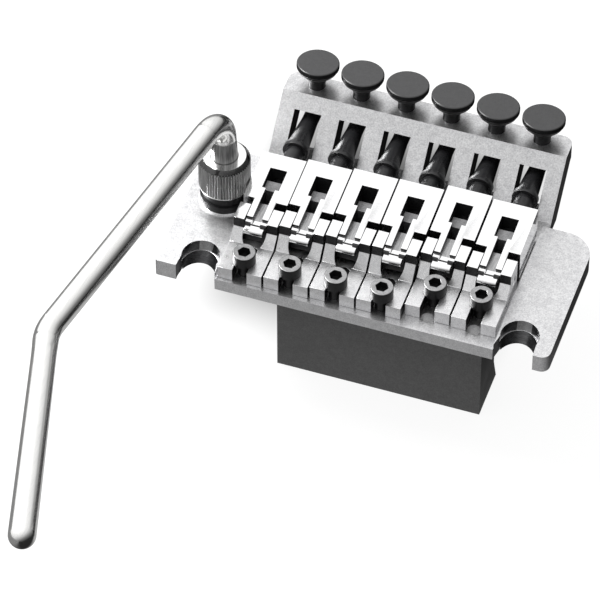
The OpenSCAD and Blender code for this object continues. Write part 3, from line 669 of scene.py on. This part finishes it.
@dataclass
class Saddle(Assembly):
    """One saddle: foot, pin, tilting block, clamp and lock screw.

    Attributes:
        number: which saddle it is, from the first string.
        edge: width of the rounded edges of foot and block.
        clamp_edge: width of the clamp insert's rounded edges.
        screw_edge: width of the lock screw's rounded edges.
        slack: how far past the walls of slot and hollow a face still belongs to them.
        skin: depth of a top face with its edge.
        flank_x: distance from the middle past which a face belongs to a flank.
        slot_half: half the width of the foot's slot.
        slot_l: distance from the foot's front to the centre of the slot's round end.
        hollow_r: radius of the hollow under the nose.
        hollow_top: Z below which the hollow's floor lies.
        lip: depth of the foot's front edge.
        ear_y: distance from the foot's front to the ears.
        ear_slack: how far an ear's front may lie from that.
        nose_end: distance from the foot's front to the rear of the rounded nose.
        line_end: distance from the foot's front to the rear of the line of painted shade behind the nose.
        lip_end: distance from the foot's front to the rear of the bright lip behind that line.
        rails: distances from the foot's front between which the rails' ends lie.
        waist: distances from the foot's front between which the block's sides get painted shade.
        string_half: half the width of the string slot.
        channel_slack: how far past the string slot's walls a face still belongs to it.
        channel_depth: how far the string slot's floor lies below the block's top.
        window_half: half the width of the clamp's window, with its edge.
        window_y: distance from the foot's front to the window.
        window_edge: how far in front of the window a face still belongs to it.
        window_end: distance from the foot's front to the window's rear wall.
        window_depth: how far below the block's top a level face is still no floor of the window.
        ramp_l: length of the steep floor that leads into the window.
        ramp_slack: how far past the ramp's sides a face still belongs to it.
    """

    number: int = 1
    edge: float = 0.09 * MM
    clamp_edge: float = 0.12 * MM
    screw_edge: float = 0.1 * MM
    slack: float = 0.06 * MM
    skin: float = 0.2 * MM
    flank_x: float = 5.0 * MM
    slot_half: float = 1.7 * MM
    slot_l: float = 7.4 * MM
    hollow_r: float = 2.65 * MM
    hollow_top: float = 3.0 * MM
    lip: float = 0.3 * MM
    ear_y: float = 11.0 * MM
    ear_slack: float = 0.4 * MM
    nose_end: float = 10.75 * MM
    line_end: float = 11.25 * MM
    lip_end: float = 12.45 * MM
    rails: tuple[float, float] = (10.5 * MM, 13.5 * MM)
    waist: tuple[float, float] = (13.0 * MM, 18.0 * MM)
    string_half: float = 1.1 * MM
    channel_slack: float = 0.05 * MM
    channel_depth: float = 1.55 * MM
    window_half: float = 2.06 * MM
    window_y: float = 21.2 * MM
    window_edge: float = 0.1 * MM
    window_end: float = 27.4 * MM
    window_depth: float = 3.0 * MM
    ramp_l: float = 3.1 * MM
    ramp_slack: float = 0.02 * MM

    def __post_init__(self) -> None:
        """Finds the saddle's middle, the front of its foot and its two tops."""
        low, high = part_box(f"saddle_base_{self.number}")
        self.middle = (low.x + high.x) / 2
        self.front = low.y
        self.ear_top = high.z
        self.block_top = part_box(f"saddle_block_{self.number}")[1].z

    def build(self) -> None:
        """Builds the saddle's pieces."""
        n = self.number
        self.foot()
        self.block()
        self.refine(f"clamp_block_{n}", f"clamp_{n}", Finishes.CLAMP, self.clamp_edge)
        self.refine(f"lock_screw_{n}", f"lock_{n}", Finishes.LOCK, self.screw_edge)
        self.restyle(f"pivot_pin_{n}", Finishes.CHROME)

    def foot(self) -> None:
        """Builds the foot, with painted shade on the walls of its slot and hollow, on the ears' fronts and
        on its inner flanks, and the two ears.
        """
        n = self.number
        piece = self.refine(f"saddle_base_{n}", f"saddle_foot_{n}", Finishes.FOOT, self.edge)
        Bench.paint(piece, Finishes.CHROME, self.on_ear)
        # Painted shade in the slot and hollow, on the ears' fronts and on the inner flanks.
        for dark in (self.in_hollow, self.on_ear_front, self.on_inner_side):
            Bench.paint(piece, Finishes.PAINTED_SHADE, dark)

    def block(self) -> None:
        """Builds the tilting block, with painted shade in its window, behind the nose, on its rail ends,
        inner flanks and waist, and grey painted shade in the string channel.
        """
        n = self.number
        piece = self.refine(f"saddle_block_{n}", f"saddle_top_{n}", Finishes.CHROME, self.edge)
        Bench.score(piece, [self.front + place for place in (self.nose_end, self.line_end, self.lip_end)])
        # Painted shade on the floor of the string slot.
        Bench.paint(piece, Finishes.CHANNEL_SHADE, self.in_channel)
        # Painted shade behind the nose, on the inner flanks, in the window, on the rail ends and on the
        # waist.
        for dark in (self.on_line, self.on_inner_side, self.in_window, self.on_rail_end, self.on_waist):
            Bench.paint(piece, Finishes.PAINTED_SHADE, dark)

    def beside(self, at: Vector) -> float:
        """Measures how far a point lies to either side of the saddle's middle."""
        return abs(at.x - self.middle)

    def behind(self, at: Vector) -> float:
        """Measures how far a point lies behind the front of the foot."""
        return at.y - self.front

    def on_inner_side(self, at: Vector, normal: Vector) -> bool:
        """Says whether a face is a flank that looks at the next saddle, which gets painted shade."""
        outer = self.number == 1 and normal.x < 0 or self.number == STRINGS and normal.x > 0
        return abs(normal.x) > Facing.FULLY and self.beside(at) > self.flank_x and not outer

    def on_ear(self, at: Vector, normal: Vector) -> bool:
        """Says whether a face is the top of an ear."""
        return normal.z > Facing.FULLY and at.z > self.ear_top - self.skin

    def on_ear_front(self, at: Vector, normal: Vector) -> bool:
        """Says whether a face is the front of an ear, which gets painted shade."""
        return normal.y < -Facing.FULLY and abs(self.behind(at) - self.ear_y) < self.ear_slack

    def in_hollow(self, at: Vector, normal: Vector) -> bool:
        """Says whether a face lies in the foot's slot or in the hollow under the nose, which get painted
        shade.

        Args:
            at: centre of the face.
            normal: direction in which it looks.

        Returns:
            True for a wall or floor of either.
        """
        on_level = abs(normal.z) > Facing.PARTLY and at.z > self.hollow_top
        on_front = self.behind(at) < self.lip and normal.y < -Facing.LARGELY
        if self.beside(at) > self.hollow_r + self.slack or on_level or on_front:
            return False
        return self.beside(at) < self.slot_half + self.slack or self.behind(at) > self.slot_l

    def in_channel(self, at: Vector, normal: Vector) -> bool:
        """Says whether a face lies in the string slot, which gets painted shade."""
        inside = self.beside(at) < self.string_half + self.channel_slack
        low = at.z < self.block_top - self.channel_depth
        return inside and low and self.lip_end < self.behind(at) < self.window_y

    def on_line(self, at: Vector, normal: Vector) -> bool:
        """Says whether a face is part of the line of painted shade behind the nose."""
        return self.nose_end < self.behind(at) < self.line_end and normal.z > Facing.SLIGHTLY

    def in_window(self, at: Vector, normal: Vector) -> bool:
        """Says whether a face lies in the clamp's window or on the ramp that leads into it, which get
        painted shade.

        Args:
            at: centre of the face.
            normal: direction in which it looks.

        Returns:
            True for a wall or floor of either.
        """
        beside, behind = self.beside(at), self.behind(at)
        if normal.z > Facing.PARTLY and at.z > self.block_top - self.window_depth:
            return False
        front = self.window_y - self.window_edge
        inside = beside < self.window_half and front < behind < self.window_end
        ramp = self.window_y - self.ramp_l < behind < self.window_y
        return inside or ramp and beside < self.string_half + self.ramp_slack

    def on_rail_end(self, at: Vector, normal: Vector) -> bool:
        """Says whether a face is the front of a rail or of the tongue, which gets painted shade."""
        return normal.y < -Facing.LARGELY and self.rails[0] < self.behind(at) < self.rails[1]

    def on_waist(self, at: Vector, normal: Vector) -> bool:
        """Says whether a face is a side of the block between the ears, which gets painted shade."""
        return abs(normal.x) > Facing.FULLY and self.waist[0] < self.behind(at) < self.waist[1]


@dataclass
class Tuner(Assembly):
    """One fine tuner: threaded shank and mushroom knob.

    Attributes:
        number: which tuner it is, from the first string.
        lean: backward lean of the tuner's axis, in degrees.
        edge: width of the knob's rounded edges.
        top_depth: depth of the knob's matte top with its bevel.
    """

    number: int = 1
    lean: float = 7.0
    edge: float = 0.1 * MM
    top_depth: float = 0.8 * MM

    def build(self) -> None:
        """Builds the tuner's pieces."""
        n = self.number
        knob = self.refine(f"tuner_knob_{n}", f"tuner_head_{n}", Finishes.RIM, self.edge)
        lean = math.radians(self.lean)
        axis = Vector((0.0, math.sin(lean), math.cos(lean)))
        top = max(corner.co.dot(axis) for corner in knob.data.vertices)

        def on_top(at: Vector, normal: Vector) -> bool:
            """Says whether a face is part of the knob's top."""
            return normal.dot(axis) > Facing.PARTLY and at.dot(axis) > top - self.top_depth

        Bench.paint(knob, Finishes.TUNER, on_top)
        self.restyle(f"tuner_screw_{n}", Finishes.BLACK)


@dataclass
class Arm(Assembly):
    """The arm with its collar nut, thrust ring, bush, washer and nut.

    Attributes:
        edge: width of the rounded edges of arm and washer.
        ring_edge: width of the knurled ring's bevelled edges.
        bush_edge: width of the bush's rounded edges.
        nut_edge: width of the nut's rounded edges.
        ring_r: outer radius of the knurled ring.
        flute_r: radius inside which the ring has no flutes.
        flute_depth: least depth of a face that counts as a groove of the knurl.
        chamfer: height of the ring's chamfer, which has a painted dark reflection.
        skin: depth of the ring's flat top with its edge.
        root_r: radius inside which the arm's root gets a painted dark reflection.
        root_h: height above the ring of the root with the painted dark reflection.
    """

    edge: float = 0.1 * MM
    ring_edge: float = 0.04 * MM
    bush_edge: float = 0.15 * MM
    nut_edge: float = 0.2 * MM
    ring_r: float = 5.9 * MM
    flute_r: float = 5.0 * MM
    flute_depth: float = 0.05 * MM
    chamfer: float = 1.1 * MM
    skin: float = 0.1 * MM
    root_r: float = 3.4 * MM
    root_h: float = 5.6 * MM

    def __post_init__(self) -> None:
        """Finds the arm's axis and the top of the knurled ring."""
        low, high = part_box("collar_nut")
        self.axis = Vector(((low.x + high.x) / 2, (low.y + high.y) / 2))
        self.ring_top = high.z

    def build(self) -> None:
        """Builds the arm and what holds it."""
        arm = self.refine("arm", "arm", Finishes.ARM, self.edge)
        # Painted dark reflection on the root of the arm.
        Bench.paint(arm, Finishes.ROOT_DARK_REFLECTION, self.in_root)
        ring = self.refine("collar_nut", "collar", Finishes.KNURL, self.ring_edge, 1)
        # Painted shade in the grooves of the knurl.
        Bench.paint(ring, Finishes.GROOVE_SHADE, self.in_groove)
        Bench.paint(ring, Finishes.CROWN, self.on_crown)
        # Painted dark reflection on the ring's chamfer.
        Bench.paint(ring, Finishes.CHAMFER_REFLECTION, self.on_chamfer)
        self.restyle("thrust_ring", Finishes.NYLON)
        self.refine("arm_socket", "bridge", Finishes.BLACK, self.bush_edge)
        self.refine("socket_washer", "bridge", Finishes.CHROME, self.edge)
        self.refine("socket_nut", "bridge", Finishes.SPRING, self.nut_edge)

    def reach(self, at: Vector) -> float:
        """Measures how far a point lies from the arm's axis."""
        return (Vector((at.x, at.y)) - self.axis).length

    def in_root(self, at: Vector, normal: Vector) -> bool:
        """Says whether a face is part of the arm's root, which gets a painted dark reflection."""
        return self.reach(at) < self.root_r and at.z < self.ring_top + self.root_h

    def in_groove(self, at: Vector, normal: Vector) -> bool:
        """Says whether a face lies in a groove of the knurl, which gets painted shade."""
        inside = self.flute_r < self.reach(at) < self.ring_r - self.flute_depth
        return inside and at.z < self.ring_top - self.chamfer and abs(normal.z) < Facing.HALFWAY

    def on_crown(self, at: Vector, normal: Vector) -> bool:
        """Says whether a face is the ring's flat top."""
        return normal.z > Facing.FULLY and at.z > self.ring_top - self.skin

    def on_chamfer(self, at: Vector, normal: Vector) -> bool:
        """Says whether a face is part of the ring's chamfer, which gets a painted dark reflection."""
        slanted = Facing.SLANTED < normal.z < Facing.FULLY
        return slanted and at.z > self.ring_top - self.chamfer - self.flute_depth


# Camera, lights and floor


@dataclass(frozen=True)
class PhotoCamera:
    """The photograph's viewpoint, found by fitting the part's own corners.

    Attributes:
        azimuth: turn about Z from the front, in degrees.
        elevation: height above the horizon, in degrees.
        distance: from the eye to the plane through the origin, in metres.
        shift_right: sideways place of the eye, in metres.
        shift_up: upward place of the eye, in metres.
        focal_px: focal length in pixels of the photograph.
        photo_px: width of the photograph, in pixels.
        sensor: width of the sensor, in mm.
        clip: nearest and farthest distance seen, in metres.
    """

    azimuth: float = 18.861
    elevation: float = 48.007
    distance: float = 1.01819
    shift_right: float = -0.014267
    shift_up: float = -0.002103
    focal_px: float = 4589.07
    photo_px: float = 600.0
    sensor: float = 36.0
    clip: tuple[float, float] = (0.05, 50.0)

    def build(self) -> bpy.types.Object:
        """Makes the camera the scene's own.

        Returns:
            The camera object.
        """
        a, e = math.radians(self.azimuth), math.radians(self.elevation)
        back = Vector((math.sin(a) * math.cos(e), -math.cos(a) * math.cos(e), math.sin(e)))
        right = Vector((math.cos(a), math.sin(a), 0.0))
        up = back.cross(right)
        data = bpy.data.cameras.new("photo_camera")
        data.sensor_width = self.sensor
        data.lens = self.focal_px / self.photo_px * self.sensor
        data.clip_start, data.clip_end = self.clip
        camera = bpy.data.objects.new("photo_camera", data)
        bpy.context.scene.collection.objects.link(camera)
        turn = Matrix((right, up, back)).transposed()
        place = back * self.distance + right * self.shift_right + up * self.shift_up
        camera.matrix_world = Matrix.Translation(place) @ turn.to_4x4()
        bpy.context.scene.camera = camera
        return camera


@dataclass(frozen=True)
class SoftBox:
    """One square soft box.

    Attributes:
        name: name of the light.
        place: where it stands, in metres.
        target: the point that it faces.
        size: width of the box, in metres.
        power: in watts.
    """

    name: str
    place: tuple[float, float, float]
    target: tuple[float, float, float]
    size: float
    power: float

    def build(self) -> None:
        """Puts the light in the scene."""
        data = bpy.data.lights.new(self.name, "AREA")
        data.shape = "SQUARE"
        data.size = self.size
        data.energy = self.power
        lamp = bpy.data.objects.new(self.name, data)
        bpy.context.scene.collection.objects.link(lamp)
        place, target = Vector(self.place), Vector(self.target)
        lamp.rotation_mode = "QUATERNION"
        lamp.location = place
        lamp.rotation_quaternion = (target - place).to_track_quat("-Z", "Y")
        lamp.visible_camera = False


@dataclass(frozen=True)
class Studio:
    """A plain, pale, soft-lit studio.

    Attributes:
        bright_side: the direction from which the surround is brightest.
        surround: places along the ramp from the dark to the bright side, with their brightness.
        boxes: the soft boxes.
        pool: middle of the lit pool on the floor, in metres.
        pool_size: half the length and width of the pool, in metres.
        pool_light: brightness of the floor in its reflections, outside the pool and in it.
        pool_ends: where the pool's light fades, in half sizes.
        side_light: brightness of the floor's bass and arm sides in its reflections.
        side_ends: X where the side's light fades, in metres.
        shade: middle of the soft grey shadow on the floor, in metres.
        shade_size: half the width and length of that shadow, in metres.
        glow_fade: distance and own light of the floor, in the shadow and outside.
        matt_fade: distance and paleness of the floor, likewise.
        floor_size: width of the floor, in metres.
    """

    bright_side: tuple[float, float, float] = (-0.55, 0.25, 0.8)
    surround: tuple[tuple[float, float], ...] = (
        (0.1, 0.008), (0.22, 0.015), (0.42, 0.2), (0.66, 0.78), (0.8, 1.0), (0.93, 1.25))
    boxes: tuple[SoftBox, ...] = (
        SoftBox("near_left_box", (-0.20, 0.04, 0.20), (0.0, 0.01, 0.0), 0.12, 1.1),
    )
    pool: tuple[float, float] = (-0.005, -0.038)
    pool_size: tuple[float, float] = (0.085, 0.055)
    pool_light: tuple[float, float] = (0.02, 0.46)
    pool_ends: tuple[float, float] = (0.6, 1.5)
    side_light: tuple[float, float] = (0.02, 0.24)
    side_ends: tuple[float, float] = (-0.09, -0.03)
    shade: tuple[float, float] = (-0.0115, 0.049)
    shade_size: tuple[float, float] = (0.036, 0.040)
    glow_fade: tuple[tuple[float, float], tuple[float, float]] = ((0.45, 0.10), (1.15, 0.9))
    matt_fade: tuple[tuple[float, float], tuple[float, float]] = ((0.45, 0.03), (1.15, 0.14))
    floor_size: float = 6.0

    def world(self) -> None:
        """Lights the scene from a pale surround that is brightest above and to the left."""
        world = bpy.data.worlds.new("pale_surround")
        bpy.context.scene.world = world
        world.use_nodes = True
        nodes, links = world.node_tree.nodes, world.node_tree.links
        shader = nodes["Background"]
        place, dot = nodes.new("ShaderNodeTexCoord"), nodes.new("ShaderNodeVectorMath")
        dot.operation = "DOT_PRODUCT"
        dot.inputs[1].default_value = Vector(self.bright_side).normalized()
        links.new(place.outputs["Generated"], dot.inputs[0])
        spread = nodes.new("ShaderNodeMapRange")
        spread.inputs["From Min"].default_value = -1.0
        links.new(dot.outputs["Value"], spread.inputs["Value"])
        ramp = nodes.new("ShaderNodeValToRGB")
        stops = ramp.color_ramp.elements
        while len(stops) < len(self.surround):
            stops.new(0.5)
        for stop, (at, level) in zip(stops, self.surround):
            stop.position = at
            stop.color = (level, level, level, 1)
        links.new(spread.outputs["Result"], ramp.inputs["Fac"])
        links.new(ramp.outputs["Color"], shader.inputs["Color"])
        shader.inputs["Strength"].default_value = 1.0

    @staticmethod
    def reach(tree: bpy.types.NodeTree, middle: tuple[float, float], half: tuple[float, float],
              square: bool) -> bpy.types.NodeSocket:
        """Measures how far a point of the floor lies from the middle of a patch.

        Args:
            tree: the floor's node tree.
            middle: middle of the patch, in metres.
            half: half its width and length, in metres.
            square: true for a patch with rounded corners, false for an oval one.

        Returns:
            The socket with the distance, which is 1 on the patch's outline.
        """
        nodes, links = tree.nodes, tree.links
        place, centre = nodes.new("ShaderNodeTexCoord"), nodes.new("ShaderNodeMapping")
        centre.vector_type = "TEXTURE"
        centre.inputs["Location"].default_value = (*middle, 0)
        centre.inputs["Scale"].default_value = (*half, 1)
        links.new(place.outputs["Object"], centre.inputs["Vector"])
        source = centre.outputs["Vector"]
        for _ in range(2 if square else 0):
            power = nodes.new("ShaderNodeVectorMath")
            power.operation = "MULTIPLY"
            links.new(source, power.inputs[0])
            links.new(source, power.inputs[1])
            source = power.outputs["Vector"]
        length = nodes.new("ShaderNodeVectorMath")
        length.operation = "LENGTH"
        links.new(source, length.inputs[0])
        root = nodes.new("ShaderNodeMath")
        root.operation = "POWER"
        root.inputs[1].default_value = 0.25 if square else 1.0
        links.new(length.outputs["Value"], root.inputs[0])
        return root.outputs["Value"]

    @staticmethod
    def fade(tree: bpy.types.NodeTree, source: bpy.types.NodeSocket, start: tuple[float, float],
             end: tuple[float, float]) -> bpy.types.NodeSocket:
        """Turns a distance into a brightness that fades softly.

        Args:
            tree: the floor's node tree.
            source: the socket with the distance.
            start: distance and brightness where the fade begins.
            end: distance and brightness where it ends.

        Returns:
            The socket with the brightness.
        """
        fall = tree.nodes.new("ShaderNodeMapRange")
        fall.interpolation_type = "SMOOTHSTEP"
        fall.inputs["From Min"].default_value, fall.inputs["To Min"].default_value = start
        fall.inputs["From Max"].default_value, fall.inputs["To Max"].default_value = end
        tree.links.new(source, fall.inputs["Value"])
        return fall.outputs["Result"]

    def paper(self) -> bpy.types.Material:
        """Makes the floor's paper: white, with a soft shadow, and a pool of light in its reflections.

        Returns:
            The material.
        """
        paper = bpy.data.materials.new("pale_floor")
        paper.use_nodes = True
        tree = paper.node_tree
        nodes, links = tree.nodes, tree.links
        nodes.remove(nodes["Principled BSDF"])
        shadow = self.reach(tree, self.shade, self.shade_size, True)
        glow, matt = nodes.new("ShaderNodeEmission"), nodes.new("ShaderNodeBsdfDiffuse")
        links.new(self.fade(tree, shadow, *self.glow_fade), glow.inputs["Strength"])
        links.new(self.fade(tree, shadow, *self.matt_fade), matt.inputs["Color"])
        seen = nodes.new("ShaderNodeAddShader")
        links.new(glow.outputs[0], seen.inputs[0])
        links.new(matt.outputs[0], seen.inputs[1])
        pool = self.fade(tree, self.reach(tree, self.pool, self.pool_size, False),
                         (self.pool_ends[0], self.pool_light[1]), (self.pool_ends[1], self.pool_light[0]))
        place, across = nodes.new("ShaderNodeTexCoord"), nodes.new("ShaderNodeSeparateXYZ")
        links.new(place.outputs["Object"], across.inputs[0])
        side = self.fade(tree, across.outputs["X"], (self.side_ends[0], self.side_light[1]),
                         (self.side_ends[1], self.side_light[0]))
        brighter = nodes.new("ShaderNodeMath")
        brighter.operation = "MAXIMUM"
        links.new(pool, brighter.inputs[0])
        links.new(side, brighter.inputs[1])
        mirrored = nodes.new("ShaderNodeEmission")
        links.new(brighter.outputs["Value"], mirrored.inputs["Strength"])
        path, mix = nodes.new("ShaderNodeLightPath"), nodes.new("ShaderNodeMixShader")
        links.new(path.outputs["Is Camera Ray"], mix.inputs[0])
        links.new(mirrored.outputs[0], mix.inputs[1])
        links.new(seen.outputs[0], mix.inputs[2])
        links.new(mix.outputs[0], nodes["Material Output"].inputs["Surface"])
        return paper

    def build(self, height: float) -> None:
        """Sets up the surround, the soft boxes, the floor and the view.

        Args:
            height: Z of the floor, in metres.
        """
        self.world()
        for box in self.boxes:
            box.build()
        Bench.clear()
        bpy.ops.mesh.primitive_plane_add(size=self.floor_size)
        floor = bpy.context.object
        floor.name = "floor"
        floor.data.transform(Matrix.Translation((0, 0, height)))
        floor.data.materials.append(self.paper())
        floor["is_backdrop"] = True
        view = bpy.context.scene.view_settings
        view.view_transform = "Standard"
        view.look = "None"
        view.exposure = 0.0


def main() -> None:
    """Builds the bridge and its studio."""
    logging.basicConfig(level=logging.INFO, format="%(name)s %(message)s")
    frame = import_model()
    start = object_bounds()
    PhotoCamera().build()
    Studio().build(start[0].z)
    parts = frame["nodes"]
    Plate(parts).build()
    for number in range(1, STRINGS + 1):
        Saddle(parts, number).build()
        Tuner(parts, number).build()
    Arm(parts).build()
    Bench.clear()


if __name__ == "__main__":
    main()
